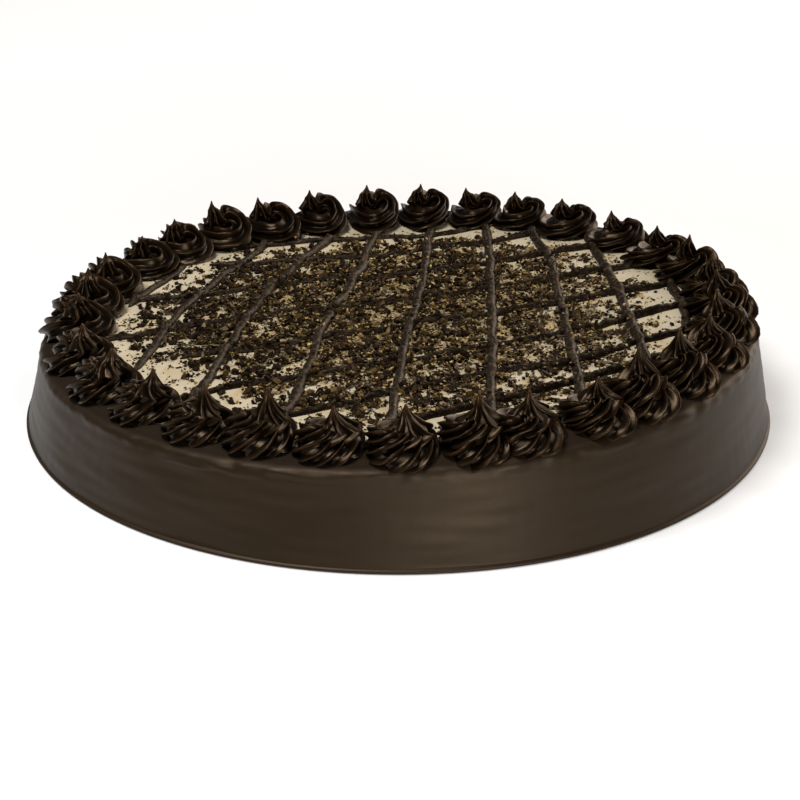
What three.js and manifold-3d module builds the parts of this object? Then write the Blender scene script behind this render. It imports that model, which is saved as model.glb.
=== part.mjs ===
// Chocolate truffle cake: an uncut round cake iced in dark chocolate, with a cream top, a lattice of piped
// chocolate ropes, grated chocolate over the middle, and a ring of piped chocolate rosettes round the rim.
// Millimetres, +Z up. The origin is the middle of the foot, on the surface that the cake stands on.

import * as THREE from 'three';
import { mergeVertices } from 'three/addons/utils/BufferGeometryUtils.js';
import Module from 'manifold-3d';

const wasm = await Module();
wasm.setup();

// Driving dimensions of the iced cake.
const FOOT_RADIUS = 130;
const FOOT_LIP_HEIGHT = 1.3;
const FOOT_LIP_STEP = 0.9;
const RIM_RADIUS = 123.8;
const RIM_ROUNDING = 2.2;
const TOP_HEIGHT = 30.3;
const TOP_SLOPE = 0.033; // the top rises towards +X, by this much for each millimetre
const ROUND_STEPS = 72;

// Driving dimensions of the cream.
const CREAM_RADIUS = 118.6;
const CREAM_THICKNESS = 1.6;

// Driving dimensions of the lattice and the grated chocolate.
const ROPE_WIDTH = 3.3;
const ROPE_HEIGHT = 2.3;
const ROPE_STEP = 36; // distance between the rings of a rope's solid
const ROPE_REACH = 94.5; // radius where the ropes stop, clear of the rosettes
const UPPER_LIFT = 0.5; // how much higher the upper set lies
const SUNK = 0.6; // depth of a rope's foot in the cream
const CRUMB_COUNT = 200;
const CRUMB_FIELD = 86; // radius that the crumbs are strewn over
const CRUMB_SIZE = [1.3, 2.4]; // half-length of the smallest and the largest

// Driving dimensions of the rosettes.
const RING_RADIUS = 110; // where the tips stand
const RIDGES = 10;
const GAP = 0.3; // kept between pieces that touch on the real cake

// Each rosette's place round the rim in degrees from +X, and its height. They are piped by hand, so they are uneven.
const ROSETTES = [
  [5, 15], [17, 15], [28, 12.5], [41, 12], [54, 12.5], [65, 12.5], [75, 13], [86, 14],
  [97, 14.5], [109, 15], [120, 15], [131, 18], [142, 16], [152, 15], [165, 16], [176, 17.5],
  [186, 16], [201, 15], [214, 15], [226, 15], [238, 15.5], [249, 17.5], [260, 14], [271, 13.5],
  [282, 15.5], [290, 14.5], [302, 14], [311, 18], [322, 18], [334, 15], [346, 15], [357, 15],
];

// How far a rosette's outer lobes hang over the rim, by its place in the list above.
const DRAPES = new Map([[23, 3], [24, 6.5]]);

// The rosette's outline, in two tiers: height as a share of the whole, radius, groove depth as a share of the
// radius, and how far the ridges have turned, in degrees.
const OUTLINE = [
  [0, 12.2, 0.14, 0],
  [0.23, 12.4, 0.22, 36],
  [0.36, 7.6, 0.16, 74],
  [0.46, 8.0, 0.26, 92],
  [0.6, 6.3, 0.3, 124],
  [0.75, 2.4, 0.3, 140],
];

// Routes of the piped ropes, as a few points each in plan. The first set lies over the second.
const UPPER_ROPES = [
  [[-78, 54], [-85, 36], [-92, 18]],
  [[-48, 91], [-64, 48], [-76, 13], [-82, -23]],
  [[-26, 86], [-42, 44], [-53, 0], [-62, -60]],
  [[-6, 97], [-15, 45], [-24, -3], [-32, -70]],
  [[13, 95], [9, 33], [2, -32], [-2, -83]],
  [[35, 93], [33, 13], [28, -80]],
  [[52, 90], [57, 47], [57, 13], [56, -75]],
  [[74, 72], [78, 22], [80, -50]],
  [[92, 20], [93, 0], [92, -17]],
];
const LOWER_ROPES = [
  [[-50, 84], [0, 90], [13, 91]],
  [[-72, 57], [-10, 62], [53, 82]],
  [[-94, 21], [-40, 32], [20, 45], [73, 64]],
  [[-99, -17], [-50, 1], [13, 15], [88, 42]],
  [[-72, -37], [0, -13], [60, 6], [98, 22]],
  [[-58, -65], [-2, -45], [55, -24], [100, 0]],
  [[-30, -83], [8, -65], [63, -45], [98, -23]],
  [[3, -92], [47, -70], [78, -52]],
];

// Seeded draw between 0 and 1, so that the cake comes out the same each time.
let seed = 20;
function draw() {
  seed = (seed * 1664525 + 1013904223) % 4294967296;
  return seed / 4294967296;
}

function between(low, high) {
  return low + (high - low) * draw();
}

// Keeps only a geometry's places, with each shared corner stored once.
function welded(geometry) {
  geometry.deleteAttribute('normal');
  geometry.deleteAttribute('uv');
  return mergeVertices(geometry, 1e-4);
}

function solidFrom(geometry) {
  const closed = welded(geometry);
  const vertProperties = new Float32Array(closed.attributes.position.array);
  const triVerts = new Uint32Array(closed.index.array);
  return new wasm.Manifold(new wasm.Mesh({ numProp: 3, vertProperties, triVerts }));
}

function geometryFrom(solid) {
  const mesh = solid.getMesh();
  const geometry = new THREE.BufferGeometry();
  geometry.setAttribute('position', new THREE.BufferAttribute(mesh.vertProperties, 3));
  geometry.setIndex(new THREE.BufferAttribute(mesh.triVerts, 1));
  return geometry;
}

// Raises the +X side: nothing moves at the foot, and all that lies on the top follows the sloping top.
function leaned(geometry) {
  const place = geometry.attributes.position;
  for (let i = 0; i < place.count; i++) {
    const share = Math.min(place.getZ(i) / TOP_HEIGHT, 1);
    place.setZ(i, place.getZ(i) + TOP_SLOPE * place.getX(i) * share);
  }
  geometry.computeVertexNormals();
  return geometry;
}

// A closed surface over rings of equally many points, listed from the bottom up and counter-clockwise.
// A flat fan closes the bottom, and the top ring runs together at the tip.
function ringedGeometry(rings, tip) {
  const count = rings[0].length;
  const bottom = new THREE.Vector3();
  rings[0].forEach((point) => bottom.addScaledVector(point, 1 / count));
  const corners = [bottom, ...rings.flat(), tip];
  const faces = [];
  for (let i = 0; i < count; i++) {
    const next = (i + 1) % count;
    faces.push(0, 1 + next, 1 + i);
    for (let row = 0; row + 1 < rings.length; row++) {
      const low = 1 + row * count;
      const high = low + count;
      faces.push(low + i, low + next, high + next);
      faces.push(low + i, high + next, high + i);
    }
    const last = 1 + (rings.length - 1) * count;
    faces.push(last + i, last + next, corners.length - 1);
  }
  const geometry = new THREE.BufferGeometry().setFromPoints(corners);
  geometry.setIndex(faces);
  return geometry;
}

// The iced cake: a straight tapering wall on a thin proud lip, a rounded rim, and a shallow bed for the cream.
// With an allowance it is the same form without the bed, grown by that much, to cut what lies against it.
function cakeGeometry(allowance) {
  const wallFoot = FOOT_RADIUS - FOOT_LIP_STEP;
  const points = [new THREE.Vector2(0, 0)];
  const add = (radius, height) => points.push(new THREE.Vector2(radius, height));
  add(FOOT_RADIUS + allowance, 0);
  add(FOOT_RADIUS + allowance, FOOT_LIP_HEIGHT);
  add(wallFoot + allowance, FOOT_LIP_HEIGHT + 0.4);
  const rimMiddle = RIM_RADIUS - RIM_ROUNDING;
  for (const degrees of [0, 45, 90]) {
    const turn = THREE.MathUtils.degToRad(degrees);
    const radius = rimMiddle + RIM_ROUNDING * Math.cos(turn) + allowance;
    add(radius, TOP_HEIGHT - RIM_ROUNDING + RIM_ROUNDING * Math.sin(turn) + allowance);
  }
  if (allowance > 0) {
    add(0, TOP_HEIGHT + allowance);
  } else {
    const bed = TOP_HEIGHT - CREAM_THICKNESS - GAP;
    add(CREAM_RADIUS + GAP, TOP_HEIGHT);
    add(CREAM_RADIUS + GAP, bed);
    add(0, bed);
  }
  return new THREE.LatheGeometry(points, ROUND_STEPS).rotateX(Math.PI / 2);
}

// A piped rope: a low four-sided section carried along its route, its foot sunk into the cream. Of the route,
// only the stretch that lies clear of the rosettes is used.
function ropeSolid(route, lift) {
  const curve = new THREE.CatmullRomCurve3(
    route.map(([x, y]) => new THREE.Vector3(x, y, 0)), false, 'centripetal');
  const shares = Array.from({ length: 201 }, (_, i) => i / 200);
  const clear = shares.filter((share) => curve.getPointAt(share).length() <= ROPE_REACH);
  const steps = Math.max(2, Math.ceil((curve.getLength() * (clear.at(-1) - clear[0])) / ROPE_STEP));
  const half = ROPE_WIDTH / 2;
  const top = ROPE_HEIGHT + lift;
  const section = [[-half, -SUNK], [-half * 0.55, top], [half * 0.55, top], [half, -SUNK]];
  const rings = [];
  for (let step = 0; step <= steps; step++) {
    const share = Math.min(1, THREE.MathUtils.lerp(clear[0], clear.at(-1), step / steps));
    const middle = curve.getPointAt(share);
    const along = curve.getTangentAt(share);
    rings.push(section.map(([side, height]) => new THREE.Vector3(
      middle.x - along.y * side, middle.y + along.x * side, TOP_HEIGHT + height)));
  }
  return solidFrom(endedTube(rings));
}

// A closed tube over rings of points, with a flat fan at each end.
function endedTube(rings) {
  const count = rings[0].length;
  const faces = [];
  const last = (rings.length - 1) * count;
  for (let i = 0; i < count; i++) {
    const next = (i + 1) % count;
    for (let row = 0; row + 1 < rings.length; row++) {
      const near = row * count;
      const far = near + count;
      faces.push(near + i, far + next, near + next);
      faces.push(near + i, far + i, far + next);
    }
    if (i > 0 && i + 1 < count) {
      faces.push(0, i, next);
      faces.push(last, last + next, last + i);
    }
  }
  const geometry = new THREE.BufferGeometry().setFromPoints(rings.flat());
  geometry.setIndex(faces);
  return geometry;
}

// One bit of grated chocolate: an angular lump, longer than it is wide, turned any way and half sunk.
function crumbSolid(x, y, size) {
  const lump = new THREE.OctahedronGeometry(size, 0);
  lump.scale(1, between(0.5, 0.8), between(0.5, 0.7));
  lump.rotateX(between(-0.3, 0.3));
  lump.rotateZ(between(0, Math.PI));
  lump.translate(x, y, TOP_HEIGHT);
  return solidFrom(lump);
}

// The cream, with the ropes and the largest bits of grated chocolate fused to it. The bits follow a sunflower
// spiral, which spreads them evenly, and each then strays a little.
function creamGeometry() {
  const disc = new THREE.Shape().absarc(0, 0, CREAM_RADIUS, 0, 2 * Math.PI);
  const cream = new THREE.ExtrudeGeometry(disc, {
    depth: CREAM_THICKNESS, bevelEnabled: false, curveSegments: ROUND_STEPS / 2 });
  cream.translate(0, 0, TOP_HEIGHT - CREAM_THICKNESS);
  const pieces = [solidFrom(cream)];
  UPPER_ROPES.forEach((route) => pieces.push(ropeSolid(route, UPPER_LIFT)));
  LOWER_ROPES.forEach((route) => pieces.push(ropeSolid(route, 0)));
  const goldenTurn = Math.PI * (3 - Math.sqrt(5));
  for (let i = 0; i < CRUMB_COUNT; i++) {
    const reach = CRUMB_FIELD * Math.sqrt((i + 0.5) / CRUMB_COUNT) + between(-3, 3);
    const turn = i * goldenTurn;
    pieces.push(crumbSolid(reach * Math.cos(turn), reach * Math.sin(turn), between(...CRUMB_SIZE)));
  }
  return geometryFrom(wasm.Manifold.union(pieces));
}

// How far a rosette may reach from its tip in one direction before it meets its neighbour. The direction is
// counter-clockwise from straight outward, and the half-angles are those to the middles of the two gaps.
function squeezedReach(direction, halfBefore, halfAfter) {
  const slant = Math.tan(Math.sin(direction) > 0 ? halfAfter : halfBefore);
  const closing = Math.abs(Math.sin(direction)) - Math.cos(direction) * slant;
  return closing > 0 ? (RING_RADIUS * slant - GAP * 0.55) / closing : Infinity;
}

// A rosette piped through a star nozzle: a low wide tier, a narrow one on it, and a drawn-out tip, with ridges
// that turn counter-clockwise as they rise. Its sides are flattened where its neighbours press on it.
function rosetteGeometry(index) {
  const [degrees, height] = ROSETTES[index];
  const degreesTo = (step) => {
    const other = ROSETTES[(index + step + ROSETTES.length) % ROSETTES.length][0];
    return ((other - degrees) * step + 360) % 360;
  };
  const halfBefore = THREE.MathUtils.degToRad(degreesTo(-1)) / 2;
  const halfAfter = THREE.MathUtils.degToRad(degreesTo(1)) / 2;
  const size = between(0.96, 1.04);
  const firstRidge = between(0, 2 * Math.PI);
  const drape = DRAPES.get(index) ?? 0;
  const base = drape > 0 ? 0 : TOP_HEIGHT + GAP;
  const rings = OUTLINE.map(([share, radius, depth, turned]) => {
    const ring = [];
    for (let i = 0; i < 2 * RIDGES; i++) {
      const direction = firstRidge + (i * Math.PI) / RIDGES + THREE.MathUtils.degToRad(turned);
      const groove = i % 2 === 0 ? 1 : 1 - depth;
      const lobe = drape > 0 && share < 0.3 ? Math.max(0, Math.cos(direction)) ** 2 * 3 : 0;
      const reach = Math.min((radius * size + lobe) * groove, squeezedReach(direction, halfBefore, halfAfter));
      const rise = TOP_HEIGHT + GAP + share * height;
      ring.push(new THREE.Vector3(reach * Math.cos(direction), reach * Math.sin(direction), rise));
    }
    return ring;
  });
  if (drape > 0) {
    rings.unshift(rings[0].map((point) => new THREE.Vector3(point.x, point.y, TOP_HEIGHT - drape)));
  }
  const tip = new THREE.Vector3(0, 0, TOP_HEIGHT + GAP + height);
  let geometry = ringedGeometry(rings, tip);
  geometry.translate(RING_RADIUS, 0, 0);
  if (drape > 0) {
    geometry = geometryFrom(solidFrom(geometry).subtract(solidFrom(cakeGeometry(GAP))));
  }
  return geometry.rotateZ(THREE.MathUtils.degToRad(degrees));
}

const icingOnWall = new THREE.MeshStandardMaterial({ name: 'wall_icing', color: 0x45382a, roughness: 0.5 });
const creamIcing = new THREE.MeshStandardMaterial({ name: 'cream', color: 0xd8cdb4, roughness: 0.6 });
const pipedIcing = new THREE.MeshStandardMaterial({ name: 'piped_icing', color: 0x2c211b, roughness: 0.35 });

const cake = new THREE.Group();

function addPiece(name, geometry, material) {
  const mesh = new THREE.Mesh(leaned(geometry), material.clone());
  mesh.name = name;
  cake.add(mesh);
}

addPiece('cake_body', geometryFrom(solidFrom(cakeGeometry(0))), icingOnWall);
addPiece('cream_top', creamGeometry(), creamIcing);
ROSETTES.forEach((_, index) => {
  addPiece(`rosette_${String(index + 1).padStart(2, '0')}`, rosetteGeometry(index), pipedIcing);
});

export default cake;
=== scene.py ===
import math

import bpy
import numpy as np
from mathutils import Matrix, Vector


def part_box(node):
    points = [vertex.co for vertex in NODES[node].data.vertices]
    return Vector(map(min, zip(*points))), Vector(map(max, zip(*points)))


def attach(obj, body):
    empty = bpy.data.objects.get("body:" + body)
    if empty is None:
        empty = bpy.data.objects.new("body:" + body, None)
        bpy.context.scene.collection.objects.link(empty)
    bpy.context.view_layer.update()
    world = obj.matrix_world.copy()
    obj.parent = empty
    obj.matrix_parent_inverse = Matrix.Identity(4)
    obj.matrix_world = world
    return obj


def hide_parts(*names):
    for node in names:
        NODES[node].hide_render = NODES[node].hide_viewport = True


# Chocolate truffle cake: dark chocolate icing spread on an uncut round cake, a cream top with a piped
# lattice and grated chocolate, and a ring of piped rosettes. Metres, +Z up, the origin in the middle of
# the foot.

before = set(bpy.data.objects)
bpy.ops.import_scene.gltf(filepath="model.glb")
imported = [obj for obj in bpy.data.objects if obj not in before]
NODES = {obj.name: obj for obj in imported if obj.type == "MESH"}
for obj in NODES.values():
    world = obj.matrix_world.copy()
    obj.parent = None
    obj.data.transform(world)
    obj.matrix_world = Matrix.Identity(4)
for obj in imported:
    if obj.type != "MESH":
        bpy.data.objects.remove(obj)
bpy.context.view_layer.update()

MM = 0.001
TURN = 2 * math.pi

# The iced cake in millimetres, as the solids have it but for a softer rim.
FOOT_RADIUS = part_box("cake_body")[1].x / MM
FOOT_LIP_HEIGHT = 1.3
FOOT_LIP_STEP = 0.9
RIM_RADIUS = 123.8
RIM_ROUNDING = 4.0
TOP_HEIGHT = 30.3
TOP_SLOPE = 0.033
CREAM_RADIUS = 118.6
CREAM_DEPTH = 1.6

# The lattice: the width and height of a piped rope in each set, and how much higher the upper set lies.
UPPER_ROPE = (3.7, 2.2)
LOWER_ROPE = (2.9, 2.5)
UPPER_LIFT = 0.5

# Routes of the piped ropes in plan, in millimetres. The first set lies over the second.
UPPER_ROPES = [
    [(-81, 58), (-89, 37), (-97, 16)],
    [(-48, 91), (-64, 48), (-76, 13), (-82, -23), (-86, -44)],
    [(-26, 86), (-42, 44), (-53, 0), (-62, -60), (-66, -80)],
    [(-2, 108), (-6, 97), (-15, 45), (-24, -3), (-32, -70), (-36, -94)],
    [(14, 106), (13, 95), (9, 33), (2, -32), (-2, -83), (-4, -102)],
    [(35, 104), (35, 93), (33, 13), (28, -80), (26, -100)],
    [(51, 98), (52, 90), (57, 47), (57, 13), (56, -75), (55, -90)],
    [(73, 80), (74, 72), (78, 22), (80, -50), (80, -66)],
    [(97, 30), (98, 22), (99, -3), (98, -17), (97, -26)],
]
LOWER_ROPES = [
    [(-62, 77), (-50, 79), (0, 84.5), (13, 86), (30, 91)],
    [(-72, 57), (-10, 62), (53, 82), (66, 86)],
    [(-104, 19), (-94, 21), (-40, 32), (20, 45), (73, 64), (86, 70)],
    [(-108, -20), (-99, -17), (-50, 1), (13, 15), (88, 42), (100, 46)],
    [(-72, -37), (0, -13), (60, 6), (98, 22), (107, 26)],
    [(-70, -72), (-58, -65), (-2, -45), (55, -24), (100, 0), (108, 4)],
    [(-40, -89), (-30, -83), (8, -65), (63, -45), (98, -23), (106, -19)],
    [(-8, -98), (3, -92), (47, -70), (78, -52), (90, -46)],
]

# The rosettes: seven ridges from a star nozzle, on a grid of rows along the rope and columns round it.
ROSETTE_COUNT = 32
RIDGES = 7
COLUMNS_PER_RIDGE = 15
ROSETTE_ROWS = 108

# The photograph's viewpoint: how far off and how high the camera stands, and what its lens takes in.
CAMERA_DISTANCE = 600
CAMERA_ELEVATION = math.radians(23.8)
AIM_RIGHT = 0.6
AIM_UP = -2.2
LENS = 75.65


def add_camera():
    """A level camera that looks at a point just right of and below the origin, as seen in the picture."""
    sine, cosine = math.sin(CAMERA_ELEVATION), math.cos(CAMERA_ELEVATION)
    picture_up = Vector((0, sine, cosine))
    aim = Vector((AIM_RIGHT, 0, 0)) + AIM_UP * picture_up
    data = bpy.data.cameras.new("camera")
    data.lens = LENS
    data.sensor_width = 36
    data.clip_start = 0.01
    data.clip_end = 20
    camera = bpy.data.objects.new("camera", data)
    bpy.context.collection.objects.link(camera)
    camera.location = (aim + CAMERA_DISTANCE * Vector((0, -cosine, sine))) * MM
    camera.rotation_euler = (math.pi / 2 - CAMERA_ELEVATION, 0, 0)
    bpy.context.scene.camera = camera


add_camera()


# Small tools for meshes. All arrays are in millimetres until a mesh is made.
def smooth_through(knots, values, at):
    """Cubic curve through (knot, value) pairs: each piece is the Hermite cubic whose end slopes are those of
    the chord between the knots on either side."""
    knots = np.asarray(knots, float)
    values = np.asarray(values, float)
    slopes = np.gradient(values, knots, axis=0)
    at = np.clip(at, knots[0], knots[-1])
    piece = np.clip(np.searchsorted(knots, at, side="right") - 1, 0, len(knots) - 2)
    span = knots[piece + 1] - knots[piece]
    t = (at - knots[piece]) / span
    if values.ndim > 1:
        t, span = t[..., None], span[..., None]
    start = (1 + 2 * t) * (1 - t) ** 2 * values[piece] + t * (1 - t) ** 2 * span * slopes[piece]
    end = t * t * (3 - 2 * t) * values[piece + 1] + t * t * (t - 1) * span * slopes[piece + 1]
    return start + end


def uneven(points, wavelength, seed, waves=20):
    """Smooth unevenness of unit size: a sum of plane waves in seeded directions, with seeded phases and with
    lengths spread round the given one, divided so that its mean square is one."""
    draw = np.random.default_rng(seed)
    heading = draw.normal(size=(3, waves))
    heading /= np.linalg.norm(heading, axis=0)
    pace = TURN / (wavelength * draw.uniform(0.7, 1.6, waves))
    phase = draw.uniform(0, TURN, waves)
    return np.sin(points @ (heading * pace) + phase).sum(axis=-1) * math.sqrt(2 / waves)


def step_up(low, high, x):
    """0 below low, 1 above high, and a smooth cubic between."""
    t = np.clip((x - low) / (high - low), 0, 1)
    return t * t * (3 - 2 * t)


def leaned(points):
    """Lifts the +X side: the rise grows with x, and from nothing at the foot to its full share at the top."""
    lifted = points.copy()
    lifted[..., 2] += TOP_SLOPE * points[..., 0] * np.clip(points[..., 2] / TOP_HEIGHT, 0, 1)
    return lifted


def grid_quads(rows, columns):
    """Four-sided faces between neighbouring rows of a grid whose columns close on themselves."""
    row, column = np.meshgrid(np.arange(rows - 1), np.arange(columns), indexing="ij")
    following = (column + 1) % columns
    low, high = row * columns, (row + 1) * columns
    quads = np.stack([low + column, low + following, high + following, high + column], axis=-1)
    return quads.reshape(-1, 4)


def capped_rings(rings, first_pole, last_pole):
    """Points and faces of a closed skin over rings of equally many points, each end drawn to a pole."""
    rows, columns = rings.shape[:2]
    points = np.concatenate([rings.reshape(-1, 3), [first_pole], [last_pole]])
    column = np.arange(columns)
    following = (column + 1) % columns
    first, last = rows * columns, rows * columns + 1
    low_fan = np.stack([following, column, np.full(columns, first)], axis=-1)
    top = (rows - 1) * columns
    high_fan = np.stack([top + column, top + following, np.full(columns, last)], axis=-1)
    return points, [grid_quads(rows, columns), low_fan, high_fan]


def add_piece(name, points, face_sets, material, smooth=True, tones=None):
    """A mesh object from points in millimetres and arrays of three- and four-sided faces. It rides on the
    cake. tones is a number for each point, which a material can read."""
    mesh = bpy.data.meshes.new(name)
    corners = np.concatenate([faces.ravel() for faces in face_sets]).astype(np.int32)
    sizes = np.concatenate([np.full(len(faces), faces.shape[1], np.int32) for faces in face_sets])
    mesh.vertices.add(len(points))
    mesh.vertices.foreach_set("co", (points * MM).astype(np.float32).ravel())
    mesh.loops.add(len(corners))
    mesh.loops.foreach_set("vertex_index", corners)
    mesh.polygons.add(len(sizes))
    starts = np.concatenate([[0], np.cumsum(sizes)[:-1]])
    mesh.polygons.foreach_set("loop_start", starts.astype(np.int32))
    mesh.polygons.foreach_set("use_smooth", np.full(len(sizes), smooth))
    if tones is not None:
        layer = mesh.attributes.new("tone", "FLOAT", "POINT")
        layer.data.foreach_set("value", tones.astype(np.float32))
    mesh.materials.append(material)
    mesh.update(calc_edges=True)
    piece = bpy.data.objects.new(name, mesh)
    bpy.context.collection.objects.link(piece)
    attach(piece, "root")
    return piece


def joined_copies(shape_points, shape_faces, turns, sizes, places):
    """One mesh from many copies of a small shape: copy k has each point scaled by sizes[k], turned by the
    matrix turns[k] and moved to places[k]. shape_points is one shape for all, or one for each copy."""
    shapes = np.broadcast_to(shape_points, (len(places),) + shape_points.shape[-2:]) * sizes[:, None, :]
    points = np.einsum("kij,kpj->kpi", turns, shapes) + places[:, None, :]
    count = points.shape[1]
    faces = shape_faces[None] + (np.arange(len(places)) * count)[:, None, None]
    return points.reshape(-1, 3), faces.reshape(-1, shape_faces.shape[1])


# Materials.
COCOA_BUTTER_IOR = 1.46


def linear(hex_colour):
    """An sRGB hex colour as linear red, green, blue and alpha."""
    shares = [int(hex_colour[i:i + 2], 16) / 255 for i in (1, 3, 5)]
    return tuple(s / 12.92 if s <= 0.04045 else ((s + 0.055) / 1.055) ** 2.4 for s in shares) + (1.0,)


def add_node(tree, kind, values=None, links=None, **settings):
    """Adds a shader node, sets its properties and its sockets' values, and links other sockets into it."""
    node = tree.nodes.new(kind)
    for name, setting in settings.items():
        setattr(node, name, setting)
    for socket, value in (values or {}).items():
        node.inputs[socket].default_value = value
    for socket, source in (links or {}).items():
        tree.links.new(source, node.inputs[socket])
    return node


def new_material(name):
    """An empty material with its output node, and the Object coordinates that its patterns start from."""
    material = bpy.data.materials.new(name)
    material.use_nodes = True
    tree = material.node_tree
    tree.nodes.clear()
    output = add_node(tree, "ShaderNodeOutputMaterial")
    place = add_node(tree, "ShaderNodeTexCoord").outputs["Object"]
    return material, tree, output, place


def finish_material(tree, output, values, links):
    """Puts the surface shader on the output, with its fixed values and its linked patterns."""
    shader = add_node(tree, "ShaderNodeBsdfPrincipled", values, links)
    tree.links.new(shader.outputs["BSDF"], output.inputs["Surface"])


def per_metre(size_mm):
    """Texture scale for a pattern whose grains are this many millimetres across."""
    return 1 / (size_mm * MM)


def spread_icing_material():
    """Chocolate buttercream smoothed with a palette knife: a soft sheen, faint strokes along the wall, a fine
    grain, and on top a duller finish and a darker colour, partly the icing's own and partly a painted shadow
    of the rosettes standing there. The grain is drawn coarser than it is, so that it shows."""
    material, tree, output, place = new_material("spread chocolate buttercream")
    strokes = add_node(tree, "ShaderNodeMapping", {"Scale": (1, 1, 5)}, {"Vector": place})
    broad = add_node(tree, "ShaderNodeTexNoise", {"Scale": per_metre(34), "Detail": 3.0},
                     {"Vector": strokes.outputs["Vector"]})
    fine = add_node(tree, "ShaderNodeTexNoise", {"Scale": per_metre(1.6), "Detail": 5.0, "Roughness": 0.6},
                    {"Vector": place})
    ramp = add_node(tree, "ShaderNodeValToRGB", links={"Fac": broad.outputs["Fac"]})
    ramp.color_ramp.elements[0].position = 0.3
    ramp.color_ramp.elements[0].color = linear("#1a1107")
    ramp.color_ramp.elements[1].position = 0.72
    ramp.color_ramp.elements[1].color = linear("#1f150a")
    # Painted shade: the top, where the rosettes stand, is mixed towards near-black, partly standing in for
    # their shadow, and is also made duller.
    level = add_node(tree, "ShaderNodeVectorMath", {1: (-TOP_SLOPE, 0, 1)}, {0: place},
                     operation="DOT_PRODUCT")
    top_painted_shade = add_node(tree, "ShaderNodeMapRange",
                      {"From Min": 29.2 * MM, "From Max": 30.1 * MM, "To Max": 0.75},
                      {"Value": level.outputs["Value"]})
    colour = add_node(tree, "ShaderNodeMix", data_type="RGBA", values={7: linear("#0e0804")},
                      links={0: top_painted_shade.outputs["Result"], 6: ramp.outputs["Color"]})
    gloss = add_node(tree, "ShaderNodeMapRange", {"To Min": 0.45, "To Max": 0.53},
                     {"Value": broad.outputs["Fac"]})
    duller = add_node(tree, "ShaderNodeMath", {1: 0.5},
                      {0: top_painted_shade.outputs["Result"], 2: gloss.outputs["Result"]}, operation="MULTIPLY_ADD")
    low = add_node(tree, "ShaderNodeBump", {"Strength": 0.35, "Distance": 0.25 * MM},
                   {"Height": broad.outputs["Fac"]})
    high = add_node(tree, "ShaderNodeBump", {"Strength": 0.35, "Distance": 0.08 * MM},
                    {"Height": fine.outputs["Fac"], "Normal": low.outputs["Normal"]})
    finish_material(tree, output,
                    {"Specular IOR Level": 0.36, "Specular Tint": linear("#ffe2c2"), "IOR": COCOA_BUTTER_IOR},
                    {"Base Color": colour.outputs[2], "Roughness": duller.outputs["Value"],
                     "Normal": high.outputs["Normal"]})
    return material


def piped_icing_material(name, dark, pale, roughness, dusting=None):
    """Chocolate ganache pushed through a nozzle: darker and glossier than the wall, with a faint grain.
    dusting is how strongly chocolate dust specks it. Without one the piece is ridged: its hollows are
    darkened by painted shade, and the drawn-out tip is thin and painted browner, as a painted glow of light
    through it."""
    ridged = dusting is None
    material, tree, output, place = new_material(name)
    cloud = add_node(tree, "ShaderNodeTexNoise", {"Scale": per_metre(6), "Detail": 4.0}, {"Vector": place})
    grit = add_node(tree, "ShaderNodeTexNoise", {"Scale": per_metre(0.9), "Detail": 3.0}, {"Vector": place})
    ramp = add_node(tree, "ShaderNodeValToRGB", links={"Fac": cloud.outputs["Fac"]})
    ramp.color_ramp.elements[0].position = 0.3
    ramp.color_ramp.elements[0].color = linear(dark)
    ramp.color_ramp.elements[1].position = 0.7
    ramp.color_ramp.elements[1].color = linear(pale)
    colour = ramp.outputs["Color"]
    gloss = add_node(tree, "ShaderNodeMapRange", {"To Min": roughness, "To Max": roughness + 0.1},
                     {"Value": cloud.outputs["Fac"]}).outputs["Result"]
    if ridged:
        tone = add_node(tree, "ShaderNodeAttribute", attribute_name="tone").outputs["Fac"]
        # Painted shade: where the tone marks a groove, the colour is mixed towards near-black.
        hollow_shade = add_node(tree, "ShaderNodeMapRange",
                             {"From Min": 0.2, "From Max": 0.95, "To Min": 1.0, "To Max": 0.0},
                             {"Value": tone})
        # Painted glow: at the thin tip, where the tone rises past 1, the colour is mixed towards a warmer
        # brown, standing in for light shining through the icing.
        tip_glow = add_node(tree, "ShaderNodeMapRange", {"From Min": 1.0, "From Max": 1.6}, {"Value": tone})
        hollow_shaded = add_node(tree, "ShaderNodeMix", data_type="RGBA", values={7: linear("#040201")},
                            links={0: hollow_shade.outputs["Result"], 6: colour})
        tip_glowed = add_node(tree, "ShaderNodeMix", data_type="RGBA", values={7: linear("#2e1d0e")},
                          links={0: tip_glow.outputs["Result"], 6: hollow_shaded.outputs[2]})
        colour = tip_glowed.outputs[2]
    else:
        dust = add_node(tree, "ShaderNodeTexNoise",
                        {"Scale": per_metre(1.3), "Detail": 4.0, "Roughness": 0.7}, {"Vector": place})
        specks = add_node(tree, "ShaderNodeMapRange", {"From Min": 0.52, "From Max": 0.64, "To Max": dusting},
                          {"Value": dust.outputs["Fac"]})
        dusted = add_node(tree, "ShaderNodeMix", data_type="RGBA", values={7: linear("#564937")},
                          links={0: specks.outputs["Result"], 6: colour})
        colour = dusted.outputs[2]
    relief = add_node(tree, "ShaderNodeBump", {"Strength": 0.4, "Distance": (0.1 if ridged else 0.45) * MM},
                      {"Height": grit.outputs["Fac"]})
    finish_material(tree, output,
                    {"Specular IOR Level": 0.27 if ridged else 0.22, "IOR": COCOA_BUTTER_IOR,
                     "Specular Tint": linear("#ffd9ae" if ridged else "#ffe2c2")},
                    {"Base Color": colour, "Roughness": gloss, "Normal": relief.outputs["Normal"]})
    return material


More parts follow.
